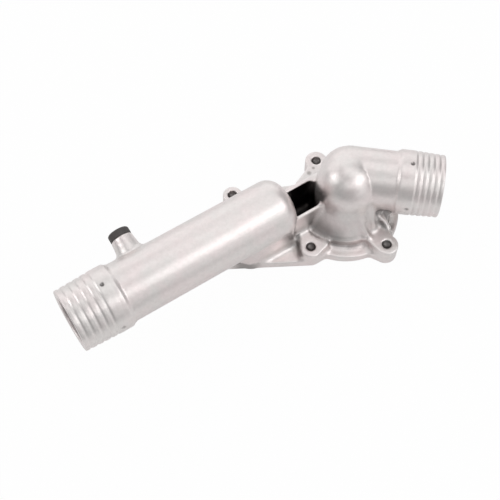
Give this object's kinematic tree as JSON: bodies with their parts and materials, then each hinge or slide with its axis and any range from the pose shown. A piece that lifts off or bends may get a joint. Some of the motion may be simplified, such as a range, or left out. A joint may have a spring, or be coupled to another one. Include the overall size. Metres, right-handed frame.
{
  "type": "coolant housing",
  "caption": "Cast coolant housing for an engine: a long hose pipe, a short elbowed hose pipe over a valve seat, a capped vent nipple and a bolted flange.",
  "frame": {"origin": "on the axis of the elbow port, in the plane of the machined mounting face", "axes": "+Z away from the engine, normal to the mounting face; +X along the long pipe, from its hose end towards the elbow; +Y across the pipe, to the side of the vent nipple"},
  "size_m": [0.2437, 0.0977, 0.0566],
  "materials": {
    "cast_aluminium": "as die cast, with a soft sheen",
    "rubber": "matt moulded rubber"
  },
  "bodies": {
    "root": {"housing": "cast_aluminium", "nipple_cap": "rubber"}
  },
  "joints": []
}
